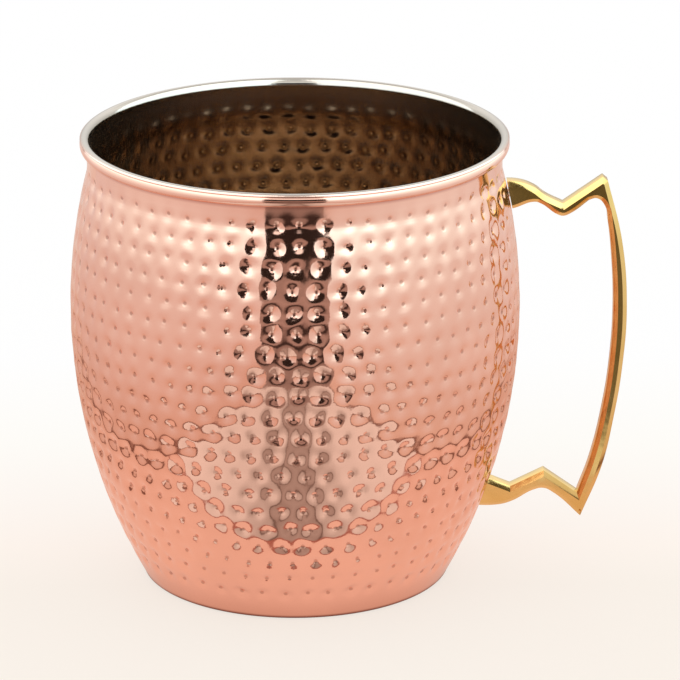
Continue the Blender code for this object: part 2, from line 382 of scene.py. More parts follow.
ARC_CENTRE = BELLY_RADIUS - BARREL_CURVE
CORNER_RADIUS_AT = ARC_CENTRE + math.sqrt(
    (BARREL_CURVE - FOOT_CORNER) ** 2 - (BELLY_HEIGHT - FOOT_CORNER) ** 2
)
FOOT_ANGLE = -math.asin((BELLY_HEIGHT - FOOT_CORNER) / (BARREL_CURVE - FOOT_CORNER))
NECK_ANGLE = math.asin((NECK_START - BELLY_HEIGHT) / BARREL_CURVE)
CURL_CENTRE = (NECK_RADIUS - SHEET + RIM_RADIUS) / 2
CURL_HALF_WIDTH = (RIM_RADIUS - NECK_RADIUS + SHEET) / 2
CURL_HEIGHT = HEIGHT - PLATE - PLATE_GAP - CURL_HALF_HEIGHT

WALL_COLUMNS = 480
WALL_ROWS = 138
HIDDEN_ROWS = 52

BLOW_ROWS = 20
MOST_BLOWS = 68                  # enough for the longest row, round the belly
ROW_SPACING = 9.83 * MM
BLOW_SPACING = 10.3 * MM
LOWEST_ROW_HEIGHT = 14.9 * MM
BLOW_STRAY = 0.8 * MM
BLOW_REACH = 5.2 * MM
BLOW_DEPTH = 1.3 * MM
# Depth of a blow from its middle outwards, as (share of its reach, share of its depth).
BLOW_SHAPE = ((0.0, 1.0), (0.10, 0.94), (0.45, 0.50), (0.80, 0.09), (0.92, 0.015), (1.0, 0.0))
BLOW_UNEVENNESS = 0.30           # how much a blow's depth and reach may fall short
BLOW_WOBBLE = 3.2 * MM           # how far a blow's outline wanders
SHEET_WAVES = 0.45 * MM          # the sheet between the blows isn't flat either
WOBBLE_SCALE = 230.0
WAVES_SCALE = 105.0
BLOW_SEED = 7
PIT_RADIUS = 1.9 * MM
PIT_DEPTH = 0.18 * MM


def spread(start, end, count):
    """Evenly spaced values, this many steps from start to end."""
    return [start + (end - start) * i / count for i in range(count + 1)]


def wall_point(angle, depth):
    """The point this deep behind the barrel's outer face, at this angle on its arc."""
    radius = BARREL_CURVE - depth
    return ARC_CENTRE + radius * math.cos(angle), BELLY_HEIGHT + radius * math.sin(angle)


def on_wall(angle, depth):
    """(place, the outer face's place behind it, the way in) on the barrel's side."""
    inward = (-math.cos(angle), -math.sin(angle))
    return wall_point(angle, depth), wall_point(angle, 0.0), inward


def plain(points):
    """Points of a section that no hammer reaches, so they have no way in."""
    return [(point, point, (0.0, 0.0)) for point in points]


def bend(start, corner, end, count):
    """Points along a smooth bend from start to end that leans on the corner between them."""
    points = []
    for t in spread(0.0, 1.0, count):
        points.append(tuple(
            a * (1 - t) ** 2 + 2 * b * t * (1 - t) + c * t ** 2
            for a, b, c in zip(start, corner, end)
        ))
    return points


def neck(depth, count):
    """From the top of the barrel's arc up to where the wall stands upright."""
    radius, height = wall_point(NECK_ANGLE, depth)
    upright = NECK_RADIUS - depth
    corner = (upright, height + (radius - upright) / math.tan(NECK_ANGLE))
    bent = bend((radius, height), corner, (upright, NECK_STRAIGHT), count)[1:]
    return [
        (point, (point[0] + depth, point[1]), (share - 1.0, 0.0))
        for point, share in zip(bent, spread(0.0, 1.0, count)[1:])
    ]


def rim_curl(proud, first_angle, last_angle, count):
    """Round the rolled rim, this far outside the copper, between two angles in degrees."""
    points = []
    for degrees in spread(first_angle, last_angle, count):
        angle = math.radians(degrees)
        points.append((
            CURL_CENTRE + (CURL_HALF_WIDTH + proud) * math.cos(angle),
            CURL_HEIGHT + (CURL_HALF_HEIGHT + proud) * math.sin(angle),
        ))
    return points


def foot_corner(radius, count):
    """The turned-under corner, from the base up to the barrel's side."""
    return [
        (CORNER_RADIUS_AT + radius * math.cos(a), FOOT_CORNER + radius * math.sin(a))
        for a in spread(-math.pi / 2, FOOT_ANGLE, count)
    ]


def copper_section():
    """Once round the cut sheet: up the outer face and round the curl, then down the hidden face."""
    seen = plain([(BASE_EDGE, 0.0)] + foot_corner(FOOT_CORNER, 5)[:-1])
    seen += [on_wall(a, 0.0) for a in spread(FOOT_ANGLE, NECK_ANGLE, WALL_ROWS)]
    seen += neck(0.0, 5)
    seen += plain(rim_curl(-SHEET, 180.0, CURL_END, 6))
    seen += plain(rim_curl(0.0, CURL_END, 180.0, 18))
    hidden = neck(SHEET, 3)[::-1]
    hidden += [on_wall(a, SHEET) for a in spread(NECK_ANGLE, FOOT_ANGLE, HIDDEN_ROWS)]
    hidden += plain(foot_corner(FOOT_CORNER - SHEET, 3)[:-1][::-1] + [(BASE_EDGE, SHEET)])
    return seen, hidden


def turn_section(name, seen, hidden, columns):
    """A closed section turned round the Z axis, keeping what the hammer needs to know.

    The hidden part has half the columns. A point on the axis makes one vertex, so the middle of
    a floor or of a head is closed.
    """
    places = {"place": [], "sheet_place": [], "inward": []}
    rings = []
    for values, most in [(v, columns) for v in seen] + [(v, columns // 2) for v in hidden]:
        ring = []
        for column in range(most if values[0][0] > 0.0 else 1):
            angle = 2 * math.pi * column / most
            ring.append(len(places["place"]))
            for kind, (outward, up) in zip(places, values):
                places[kind].append((outward * math.cos(angle), outward * math.sin(angle), up))
        rings.append(ring)
    faces = []
    for ring, above in zip(rings, rings[1:] + rings[:1]):
        most = max(len(ring), len(above))
        for column in range(most):
            corners = []
            for row, at in ((ring, column), (ring, column + 1), (above, column + 1), (above, column)):
                corner = row[at * len(row) // most % len(row)]
                if corner not in corners:
                    corners.append(corner)
            if len(corners) > 2:
                faces.append(tuple(corners))
    mesh = bpy.data.meshes.new(name)
    mesh.from_pydata(places["place"], [], faces)
    for kind in ("sheet_place", "inward"):
        attribute = mesh.attributes.new(kind, "FLOAT_VECTOR", "POINT")
        attribute.data.foreach_set("vector", [number for v in places[kind] for number in v])
    return mesh


def noise(tree, place, scale, detail, roughness):
    texture = tree.nodes.new("ShaderNodeTexNoise")
    tree.links.new(place, texture.inputs["Vector"])
    texture.inputs["Scale"].default_value = scale
    texture.inputs["Detail"].default_value = detail
    texture.inputs["Roughness"].default_value = roughness
    return texture.outputs


def hammer_tree():
    """Geometry Nodes: punches rows of blows into a turned sheet, the same on every sheet."""
    tree = bpy.data.node_groups.new("hammer blows", "GeometryNodeTree")
    inputs = {}

    def add_input(name, kind, value=None):
        socket = tree.interface.new_socket(name, in_out="INPUT", socket_type=kind)
        if value is not None:
            socket.default_value = value
        inputs[name] = socket.identifier

    add_input("Sheet", "NodeSocketGeometry")
    add_input("Rows", "NodeSocketInt", BLOW_ROWS)
    add_input("Most Blows", "NodeSocketInt", MOST_BLOWS)
    add_input("Row Spacing", "NodeSocketFloat", ROW_SPACING)
    add_input("Blow Spacing", "NodeSocketFloat", BLOW_SPACING)
    add_input("Lowest Row", "NodeSocketFloat")
    add_input("Barrel Curve", "NodeSocketFloat", BARREL_CURVE)
    add_input("Arc Centre", "NodeSocketFloat", ARC_CENTRE)
    add_input("Belly Height", "NodeSocketFloat", BELLY_HEIGHT)
    add_input("Stray", "NodeSocketFloat", BLOW_STRAY)
    add_input("Reach", "NodeSocketFloat", BLOW_REACH)
    add_input("Depth", "NodeSocketFloat", BLOW_DEPTH)
    add_input("Unevenness", "NodeSocketFloat", BLOW_UNEVENNESS)
    add_input("Wobble", "NodeSocketFloat", BLOW_WOBBLE)
    add_input("Sheet Waves", "NodeSocketFloat", SHEET_WAVES)
    add_input("Seed", "NodeSocketInt", BLOW_SEED)
    add_input("Finish", "NodeSocketMaterial")
    tree.interface.new_socket("Sheet", in_out="OUTPUT", socket_type="NodeSocketGeometry")
    given = tree.nodes.new("NodeGroupInput").outputs
    output = tree.nodes.new("NodeGroupOutput")

    def number(operation, *values):
        return maths(tree, operation, *values)

    # One point for each blow, row by row round the barrel's arc.
    index = add_node(tree, "GeometryNodeInputIndex")
    row = number("FLOOR", number("DIVIDE", index, given["Most Blows"]))
    column = number("MODULO", index, given["Most Blows"])
    turn_of_row = add_node(
        tree, "FunctionNodeRandomValue", 0.5, 1.5, row, given["Seed"], data_type="FLOAT"
    )
    stray_up = add_node(
        tree, "FunctionNodeRandomValue", -1.0, 1.0, index, number("ADD", given["Seed"], 1.0),
        data_type="FLOAT",
    )
    stray_round = add_node(
        tree, "FunctionNodeRandomValue", -1.0, 1.0, index, number("ADD", given["Seed"], 2.0),
        data_type="FLOAT",
    )
    climb = number("DIVIDE", number("MULTIPLY", row, given["Row Spacing"]), given["Barrel Curve"])
    row_angle = number("ADD", given["Lowest Row"], climb)
    level_radius = number(
        "MULTIPLY_ADD", number("COSINE", row_angle), given["Barrel Curve"], given["Arc Centre"]
    )
    in_row = number(
        "ROUND", number("DIVIDE", number("MULTIPLY", level_radius, math.tau), given["Blow Spacing"])
    )
    angle = number(
        "MULTIPLY_ADD", stray_up, number("DIVIDE", given["Stray"], given["Barrel Curve"]), row_angle
    )
    radius = number("MULTIPLY_ADD", number("COSINE", angle), given["Barrel Curve"], given["Arc Centre"])
    height = number("MULTIPLY_ADD", number("SINE", angle), given["Barrel Curve"], given["Belly Height"])
    share = number("DIVIDE", number("ADD", column, turn_of_row), in_row)
    around = number(
        "MULTIPLY_ADD", stray_round, number("DIVIDE", given["Stray"], radius),
        number("MULTIPLY", share, math.tau),
    )
    place = add_node(
        tree, "ShaderNodeCombineXYZ",
        number("MULTIPLY", radius, number("COSINE", around)),
        number("MULTIPLY", radius, number("SINE", around)),
        height,
    )
    count = number("MULTIPLY", given["Rows"], given["Most Blows"])
    blows = add_node(tree, "GeometryNodePoints", count, place)
    spare = add_node(
        tree, "FunctionNodeCompare", column, number("SUBTRACT", in_row, 0.5),
        data_type="FLOAT", operation="GREATER_THAN",
    )
    blows = add_node(tree, "GeometryNodeDeleteGeometry", blows, spare, domain="POINT")

    # Each part of the sheet goes in by its distance from the nearest blow.
    def kept(name, kind):
        return add_node(tree, "GeometryNodeInputNamedAttribute", name, data_type=kind)

    sheet_place = kept("sheet_place", "FLOAT_VECTOR")
    blow_place = add_node(tree, "GeometryNodeInputPosition")
    nearest = add_node(tree, "GeometryNodeSampleNearest", blows, sheet_place, domain="POINT")

    def place_of(blow):
        return add_node(
            tree, "GeometryNodeSampleIndex", blows, blow_place, blow,
            data_type="FLOAT_VECTOR", domain="POINT",
        )

    wander = noise(tree, sheet_place, WOBBLE_SCALE, 1.0, 0.5)["Color"]
    wander = vector_maths(tree, "SUBTRACT", wander, (0.5, 0.5, 0.5))
    wander = vector_maths(tree, "SCALE", wander)
    tree.links.new(given["Wobble"], wander.node.inputs["Scale"])
    touched = vector_maths(tree, "ADD", sheet_place, wander)
    away = vector_maths(tree, "DISTANCE", touched, place_of(nearest)).node.outputs["Value"]
    waves = noise(tree, sheet_place, WAVES_SCALE, 1.0, 0.5)["Fac"]
    weakness = add_node(
        tree, "FunctionNodeRandomValue", 0.0, 1.0, nearest, number("ADD", given["Seed"], 3.0),
        data_type="FLOAT",
    )
    strength = number("SUBTRACT", 1.0, number("MULTIPLY", weakness, given["Unevenness"]))
    own_reach = number("MULTIPLY", given["Reach"], number("SQRT", strength))
    shape = tree.nodes.new("ShaderNodeFloatCurve")
    curve = shape.mapping.curves[0]
    while len(curve.points) < len(BLOW_SHAPE):
        curve.points.new(0.5, 0.5)
    for point, (reach, depth) in zip(curve.points, BLOW_SHAPE):
        point.location = (reach, depth)
    shape.mapping.update()
    tree.links.new(number("MINIMUM", number("DIVIDE", away, own_reach), 1.0), shape.inputs["Value"])
    push = vector_maths(tree, "SCALE", kept("inward", "FLOAT_VECTOR"))
    dent = number("MULTIPLY", number("MULTIPLY", shape.outputs[0], given["Depth"]), strength)
    tree.links.new(number("MULTIPLY_ADD", waves, given["Sheet Waves"], dent), push.node.inputs["Scale"])
    sheet = add_node(tree, "GeometryNodeSetPosition", given["Sheet"], None, None, push)

    # Each face keeps its own blow, so that the finish can be worked from the blow's middle.
    sheet = add_node(
        tree, "GeometryNodeStoreNamedAttribute", sheet, None, "blow", nearest,
        data_type="INT", domain="FACE",
    )
    offset = vector_maths(tree, "SUBTRACT", sheet_place, place_of(kept("blow", "INT")))
    sheet = add_node(
        tree, "GeometryNodeStoreNamedAttribute", sheet, None, "blow_offset", offset,
        data_type="FLOAT_VECTOR", domain="CORNER",
    )
    sheet = add_node(tree, "GeometryNodeSetShadeSmooth", sheet, None, True)
    sheet = add_node(tree, "GeometryNodeRealizeInstances", sheet)
    sheet = add_node(tree, "GeometryNodeSetMaterial", sheet, None, given["Finish"])
    tree.links.new(sheet, output.inputs["Sheet"])
    return tree, inputs


def hammer(name, section, columns, material):
    """The turned sheet with its blows, as one plain mesh at the origin."""
    obj = bpy.data.objects.new(name, turn_section(name, *section, columns))
    bpy.context.scene.collection.objects.link(obj)
    modifier = obj.modifiers.new("Hammer blows", "NODES")
    modifier.node_group = blow_tree
    modifier[blow_inputs["Lowest Row"]] = math.asin((LOWEST_ROW_HEIGHT - BELLY_HEIGHT) / BARREL_CURVE)
    modifier[blow_inputs["Finish"]] = material
    graph = bpy.context.evaluated_depsgraph_get()
    hammered = bpy.data.meshes.new_from_object(obj.evaluated_get(graph))
    obj.modifiers.clear()
    flat = obj.data
    obj.data = hammered
    bpy.data.meshes.remove(flat)
    hammered.name = name
    return obj


def distance_from_blow(tree):
    """How far a point is from the middle of its own blow."""
    offset = add_node(tree, "ShaderNodeAttribute", attribute_name="blow_offset").node.outputs["Vector"]
    return vector_maths(tree, "LENGTH", offset).node.outputs["Value"]


def distance_from_axis(tree, at):
    """How far a point is from the mug's axis."""
    flat = add_node(tree, "ShaderNodeCombineXYZ", at["X"], at["Y"], 0.0)
    return vector_maths(tree, "LENGTH", flat).node.outputs["Value"]


def finish_surface(tree, output, colour, relief, roughness, metallic=1.0):
    """Ends a material's tree: a surface of this colour, with a fine relief in metres."""
    bump = tree.nodes.new("ShaderNodeBump")
    bump.inputs["Strength"].default_value = 1.0
    bump.inputs["Distance"].default_value = 1.0
    tree.links.new(relief, bump.inputs["Height"])
    surface = tree.nodes.new("ShaderNodeBsdfPrincipled")
    surface.inputs["Metallic"].default_value = metallic
    if isinstance(roughness, bpy.types.NodeSocket):
        tree.links.new(roughness, surface.inputs["Roughness"])
    else:
        surface.inputs["Roughness"].default_value = roughness
    tree.links.new(colour, surface.inputs["Base Color"])
    tree.links.new(bump.outputs["Normal"], surface.inputs["Normal"])
    tree.links.new(surface.outputs["BSDF"], output.inputs["Surface"])


def copper_material():
    """Bright polished copper. The pits of the blows are browner, partly with polish that no wheel
    reaches and partly with painted shade; painted shade also darkens the crease under the curl,
    and a painted shadow line runs along the foot's edge.
    """
    material, tree, output = new_material("polished copper")
    place = object_place(tree)
    away = distance_from_blow(tree)
    pit = smooth_range(tree, away, PIT_RADIUS * 0.15, PIT_RADIUS, 1.0, 0.0)
    # The pits' brown is polish residue together with painted shade for the pits' own shadow.
    residue_and_shade = smooth_range(tree, away, PIT_RADIUS * 0.25, PIT_RADIUS * 0.7, 1.0, 0.0)
    tone = noise(tree, place, 26.0, 3.0, 0.55)["Fac"]
    metal = mix_colours(tree, smooth_range(tree, tone, 0.35, 0.65), *COPPER_TONES)
    at = split_place(tree, place)
    outward = distance_from_axis(tree, at)
    # Painted shade: the crease under the rim's curl is darkened in the colour.
    groove_shade = maths(
        tree, "MULTIPLY", smooth_range(tree, at["Z"], HEIGHT - 8.5 * MM, HEIGHT - 5.5 * MM),
        smooth_range(tree, outward, RIM_RADIUS - 2.6 * MM, RIM_RADIUS - 1.2 * MM, 1.0, 0.0),
    )
    metal = mix_colours(tree, groove_shade, metal, GROOVE_SHADE)
    # Painted shadow: a dark line along the bottom edge of the foot, where it meets the table.
    foot_shadow = smooth_range(tree, at["Z"], 0.5 * MM, 2.3 * MM, 1.0, 0.0)
    metal = mix_colours(tree, foot_shadow, metal, FOOT_SHADOW)
    colour = mix_colours(tree, residue_and_shade, metal, PIT_RESIDUE_AND_SHADE)
    grain = noise(tree, place, 420.0, 2.0, 0.5)["Fac"]
    relief = maths(
        tree, "ADD", maths(tree, "MULTIPLY", pit, -PIT_DEPTH),
        maths(tree, "MULTIPLY", grain, COPPER_GRAIN),
    )
    finish_surface(tree, output, colour, relief, COPPER_ROUGHNESS)
    return material


blow_tree, blow_inputs = hammer_tree()
hammered_wall = hammer("hammered_wall", copper_section(), WALL_COLUMNS, copper_material())
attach(hammered_wall, "root")
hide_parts("body_shell")


# ---- Base and rim wire ---------------------------------------------------------
# A spun copper disc closes the foot from inside, and a fillet of solder seals it to the wall under
# the lining. The rim is rolled round a steel wire. Their CAD shapes are right as they are.


def worked_metal(
    name, tones, patch_scale, grain_scale, grain_depth, roughness, grain_place=object_place,
):
    """Metal whose colour drifts between two tones, over a fine grain this deep in metres."""
    material, tree, output = new_material(name)
    tone = noise(tree, object_place(tree), patch_scale, 3.0, 0.55)["Fac"]
    colour = mix_colours(tree, smooth_range(tree, tone, 0.3, 0.7), *tones)
    grain = noise(tree, grain_place(tree), grain_scale, 2.0, 0.5)["Fac"]
    finish_surface(tree, output, colour, maths(tree, "MULTIPLY", grain, grain_depth), roughness)
    return material


def turning_marks(tree):
    """A place that changes only with the distance from the mug's axis, for marks left by turning."""
    distance = distance_from_axis(tree, split_place(tree, object_place(tree)))
    return add_node(tree, "ShaderNodeCombineXYZ", distance, 0.0, 0.0)


def finish_node(node, material):
    """Gives a CAD node its finish, without touching its shape."""
    for material_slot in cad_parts[node].material_slots:
        material_slot.material = material


SPUN_COPPER_TONES = ((0.80, 0.44, 0.33), (0.90, 0.53, 0.41))
SOLDER_TONES = ((0.55, 0.55, 0.53), (0.68, 0.68, 0.65))
WIRE_TONES = ((0.48, 0.48, 0.49), (0.60, 0.60, 0.61))

finish_node("base_disc", worked_metal(
    "spun copper", SPUN_COPPER_TONES, patch_scale=30.0, grain_scale=900.0,
    grain_depth=0.08 * MM, roughness=0.24, grain_place=turning_marks,
))
finish_node("base_solder", worked_metal(
    "solder", SOLDER_TONES, patch_scale=160.0, grain_scale=260.0,
    grain_depth=0.2 * MM, roughness=0.42,
))
finish_node("rim_wire", worked_metal(
    "drawn steel wire", WIRE_TONES, patch_scale=120.0, grain_scale=700.0,
    grain_depth=0.04 * MM, roughness=0.32, grain_place=turning_marks,
))


# ---- Lining ------------------------------------------------------------------
# Bright nickel plating over the whole inside, carried over the crest of the rolled rim. The blows
# from outside stand up on it as low bumps. It sits just inside the copper.

LINING_COLUMNS = 400
LINING_ROWS = 130
PLATE_BACK_ROWS = 80
FLOOR_RINGS = 8
LINING_FLOOR = 3.25 * MM
FLOOR_RADIUS = 67.5 * MM
FLOOR_FILLET_END = math.radians(-27.0)
PLATE_REACH = 45.0
INSIDE = SHEET + PLATE_GAP + PLATE
NICKEL_TONES = ((0.56, 0.425, 0.305), (0.66, 0.51, 0.37))
# Painted shade round the bumps and under the neck, and a painted highlight on the bumps' tops.
BUMP_SIDE_SHADE = (0.40, 0.29, 0.19)
BUMP_TOP_HIGHLIGHT = (0.85, 0.68, 0.46)
UNDER_NECK_SHADE = (0.32, 0.22, 0.145)
CREST_TONES = ((0.57, 0.525, 0.46), (0.82, 0.56, 0.46))
LINING_ROUGHNESS = (0.20, 0.12)   # inside the mug, and on the crest of the rim
LINING_GRAIN = 0.04 * MM
NUB_RADIUS = PIT_RADIUS * 1.2
NUB_HEIGHT = PIT_DEPTH * 2.9


def lining_section():
    """From the middle of the floor up and over the rim, and back behind it to the middle.

    The plate thins to nothing on the floor, where its face and its back lie at one height.
    """
    sides = []
    for depth, rows, curl in (
        (INSIDE, LINING_ROWS, PLATE_GAP + PLATE), (INSIDE - PLATE, PLATE_BACK_ROWS, PLATE_GAP),
    ):
        radius, height = wall_point(FLOOR_FILLET_END, depth)
        corner = (radius + (height - LINING_FLOOR) * math.tan(FLOOR_FILLET_END), LINING_FLOOR)
        floor = [(r, LINING_FLOOR) for r in spread(0.0, FLOOR_RADIUS, FLOOR_RINGS)]
        side = plain(floor[:-1] + bend(floor[-1], corner, (radius, height), 8)[:-1])
        side += [on_wall(a, depth) for a in spread(FLOOR_FILLET_END, NECK_ANGLE, rows)]
        side += neck(depth, 6)
        side += plain(rim_curl(curl, 180.0, PLATE_REACH, 18))
        sides.append(side)
    return sides[0], sides[1][::-1]


def lining_material():
    """Nickel with a warm tone, bright on the crest of the rim. The tops of the bumps carry a painted
    highlight with painted shade round them, and painted shade darkens a band under the neck.
    """
    material, tree, output = new_material("bright nickel lining")
    place = object_place(tree)
    at = split_place(tree, place)
    tone = noise(tree, place, 18.0, 3.0, 0.55)["Fac"]
    nickel_and_painted_light = mix_colours(tree, smooth_range(tree, tone, 0.3, 0.7), *NICKEL_TONES)
    away = distance_from_blow(tree)
    # Painted shade round each bump's top, and a painted highlight on the top itself.
    bump_side_shade = smooth_range(tree, away, 1.0 * MM, 4.0 * MM, 1.0, 0.0)
    nickel_and_painted_light = mix_colours(tree, bump_side_shade, nickel_and_painted_light, BUMP_SIDE_SHADE)
    bump_top_highlight = smooth_range(tree, away, 0.3 * MM, 0.9 * MM, 1.0, 0.0)
    nickel_and_painted_light = mix_colours(tree, bump_top_highlight, nickel_and_painted_light, BUMP_TOP_HIGHLIGHT)
    # Painted shade: a dark band just under the neck. The bumps' nubs stop there as well.
    below_neck = smooth_range(tree, at["Z"], NECK_START - 9.0 * MM, NECK_START - 3.0 * MM, 1.0, 0.0)
    nickel_and_painted_light = mix_colours(tree, below_neck, UNDER_NECK_SHADE, nickel_and_painted_light)
    crest = smooth_range(tree, at["Z"], NECK_STRAIGHT, CURL_HEIGHT)
    thin = smooth_range(tree, distance_from_axis(tree, at), CURL_CENTRE + 0.7 * MM, RIM_RADIUS)
    colour = mix_colours(tree, crest, nickel_and_painted_light, mix_colours(tree, thin, *CREST_TONES))
    nub = smooth_range(tree, away, 0.0, NUB_RADIUS, NUB_HEIGHT, 0.0)
    grain = noise(tree, place, 300.0, 2.0, 0.5)["Fac"]
    relief = maths(
        tree, "MULTIPLY_ADD", grain, LINING_GRAIN, maths(tree, "MULTIPLY", below_neck, nub)
    )
    dullness = smooth_range(tree, at["Z"], NECK_STRAIGHT, CURL_HEIGHT, *LINING_ROUGHNESS)
    finish_surface(tree, output, colour, relief, dullness)
    return material


hammered_lining = hammer("hammered_lining", lining_section(), LINING_COLUMNS, lining_material())
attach(hammered_lining, "root")
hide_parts("lining")


# ---- Handle --------------------------------------------------------------------
# Solid brass, cast flat and filed: wide chamfers run along both sides of the grip and its arms.
# Its feet are filed to the barrel, and a screw from inside the mug holds each.

HANDLE_WIDTH = 10.5 * MM
HANDLE_CHAMFER = 2.05 * MM
FILED_EDGE = 0.3 * MM
FIT_GAP = 0.3 * MM
WELD_REACH = 0.01 * MM
BARREL_TOOL_COLUMNS = 360
BRASS_TONES = ((0.78, 0.54, 0.18), (0.88, 0.63, 0.25))


def handle_outline():
    """(x, z, kind) round the handle in millimetres. Corners are V, smooth points are A."""
    upper_edge = [
        (92, 189.0, "V"), (103, 189.0, "A"), (110.5, 186.4, "A"), (116, 182.4, "A"),
        (124.1, 178.4, "V"), (142.3, 191.2, "V"), (144.7, 189.3, "V"),
    ]
    grip_outside = [
        (151.9, 160, "A"), (154.7, 128, "A"), (153.3, 100, "A"), (149.7, 74, "A"), (144.4, 49, "A"),
    ]
    lower_edge = [
        (134.7, 24.0, "V"), (121.5, 35.9, "A"), (117, 38.0, "A"), (112.5, 37.2, "A"),
        (102, 31.5, "A"), (96, 29.8, "A"), (80, 29.8, "V"),
    ]
    lower_gap_side = [
        (80, 47.6, "V"), (101.3, 38.9, "V"), (117.1, 46.8, "V"), (132.9, 35.6, "V"),
    ]
    grip_inside = [
        (138.8, 53, "A"), (144.2, 78, "A"), (147.3, 102, "A"), (148.4, 128, "A"),
        (147.1, 153, "A"), (145.2, 169, "A"), (143.4, 177.6, "A"), (139.8, 181.0, "A"),
    ]
    upper_gap_side = [
        (136.2, 180.3, "V"), (127, 173.5, "A"), (124.2, 172.6, "A"), (121.8, 173.2, "A"),
        (113.8, 178.6, "A"), (111, 179.4, "A"), (101.3, 176.4, "A"), (92, 174.6, "V"),
    ]
    return (
        upper_edge + grip_outside + lower_edge + lower_gap_side + grip_inside + upper_gap_side
    )


def flat_outline(name, points, thickness):
    """A filled 2D curve standing in the XZ plane, as one closed mesh in its place."""
    curve = bpy.data.curves.new(name, "CURVE")
    curve.dimensions = "2D"
    curve.fill_mode = "BOTH"
    curve.extrude = thickness / 2
    curve.resolution_u = 12
    spline = curve.splines.new("BEZIER")
    spline.bezier_points.add(len(points) - 1)
    spline.use_cyclic_u = True
    handle_types = {"V": "VECTOR", "A": "AUTO"}
    for knot, (x, z, kind) in zip(spline.bezier_points, points):
        knot.co = (x * MM, z * MM, 0.0)
        knot.handle_left_type = handle_types[kind]
        knot.handle_right_type = handle_types[kind]
    guide = bpy.data.objects.new(name, curve)
    bpy.context.scene.collection.objects.link(guide)
    guide.rotation_euler = (math.pi / 2, 0.0, 0.0)
    bpy.context.view_layer.update()
    graph = bpy.context.evaluated_depsgraph_get()
    mesh = bpy.data.meshes.new_from_object(guide.evaluated_get(graph))
    mesh.transform(guide.matrix_world)
    bpy.data.objects.remove(guide)
    bpy.data.curves.remove(curve)
    return mesh


def chamfer_sides(mesh, width):
    """Welds the caps, then chamfers the edges that run round both flat sides."""
    nearly_flat = 0.002
    sharp = 1.0
    level = 0.001 * MM
    work = bmesh.new()
    work.from_mesh(mesh)
    bmesh.ops.remove_doubles(work, verts=work.verts, dist=WELD_REACH)
    bmesh.ops.dissolve_limit(work, angle_limit=nearly_flat, verts=work.verts, edges=work.edges)
    rims = [
        edge for edge in work.edges
        if edge.is_manifold and edge.calc_face_angle() > sharp
        and abs(edge.verts[0].co.y - edge.verts[1].co.y) < level
    ]
    bmesh.ops.bevel(
        work, geom=rims, offset=width, offset_type="OFFSET", segments=1, profile=0.5,
        affect="EDGES", clamp_overlap=False,
    )
    bmesh.ops.recalc_face_normals(work, faces=work.faces)
    work.to_mesh(mesh)
    work.free()


def turned_tool(name, profile, columns):
    """A solid turned from a profile that starts and ends on the mug's axis, used only to cut."""
    mesh = bpy.data.meshes.new(name)
    points = [(r, 0.0, z) for r, z in profile]
    mesh.from_pydata(points, [(i, i + 1) for i in range(len(points) - 1)], [])
    work = bmesh.new()
    work.from_mesh(mesh)
    bmesh.ops.spin(
        work, geom=work.verts[:] + work.edges[:], cent=(0, 0, 0), axis=(0, 0, 1),
        angle=math.tau, steps=columns, use_duplicate=False,
    )
    bmesh.ops.remove_doubles(work, verts=work.verts, dist=WELD_REACH)
    bmesh.ops.recalc_face_normals(work, faces=work.faces)
    work.to_mesh(mesh)
    work.free()
    obj = bpy.data.objects.new(name, mesh)
    bpy.context.scene.collection.objects.link(obj)
    return obj


def cut_away(obj, tool):
    """Cuts the tool's solid out of the piece, and throws the tool away."""
    boolean = obj.modifiers.new("Cut", "BOOLEAN")
    boolean.operation = "DIFFERENCE"
    boolean.solver = "EXACT"
    boolean.object = tool
    settle(obj)
    bpy.data.objects.remove(tool)


def settle(obj):
    """Makes the piece's modifiers part of its mesh."""
    graph = bpy.context.evaluated_depsgraph_get()
    made = bpy.data.meshes.new_from_object(obj.evaluated_get(graph))
    obj.modifiers.clear()
    obj.data = made


def soften_edges(obj, width, segments, angle):
    """Rounds every edge that turns by more than this angle in degrees."""
    bevel = obj.modifiers.new("Soft edges", "BEVEL")
    bevel.width = width
    bevel.segments = segments
    bevel.limit_method = "ANGLE"
    bevel.angle_limit = math.radians(angle)
    bevel.harden_normals = False
    settle(obj)


handle_mesh = flat_outline("cast_handle", handle_outline(), HANDLE_WIDTH)
chamfer_sides(handle_mesh, HANDLE_CHAMFER)
cast_handle = bpy.data.objects.new("cast_handle", handle_mesh)
bpy.context.scene.collection.objects.link(cast_handle)
barrel_side = [wall_point(a, -FIT_GAP) for a in spread(FOOT_ANGLE, NECK_ANGLE, 60)]
barrel_side += [place for place, _, _ in neck(-FIT_GAP, 6)]
barrel_bottom, barrel_top = barrel_side[0][1], barrel_side[-1][1]
cut_away(cast_handle, turned_tool(
    "barrel_tool", [(0.0, barrel_bottom)] + barrel_side + [(0.0, barrel_top)], BARREL_TOOL_COLUMNS
))
soften_edges(cast_handle, FILED_EDGE, segments=2, angle=20.0)
cast_handle.data.materials.clear()
cast_handle.data.materials.append(worked_metal(
    "polished brass", BRASS_TONES, patch_scale=40.0, grain_scale=95.0,
    grain_depth=0.15 * MM, roughness=0.14,
))

# The panel's front half is turned away from the handle, so that its flat sides stay dark.
turned_away = bpy.data.collections.new("out of the front panel's light")
turned_away.objects.link(cast_handle)
soft_panels["right", "front"].light_linking.receiver_collection = turned_away
turned_away.collection_objects[0].light_linking.link_state = "EXCLUDE"


BOARD_TONES = ((0.08, 0.065, 0.045), (0.17, 0.14, 0.095))
BOARD_INSET = 4.0 * MM


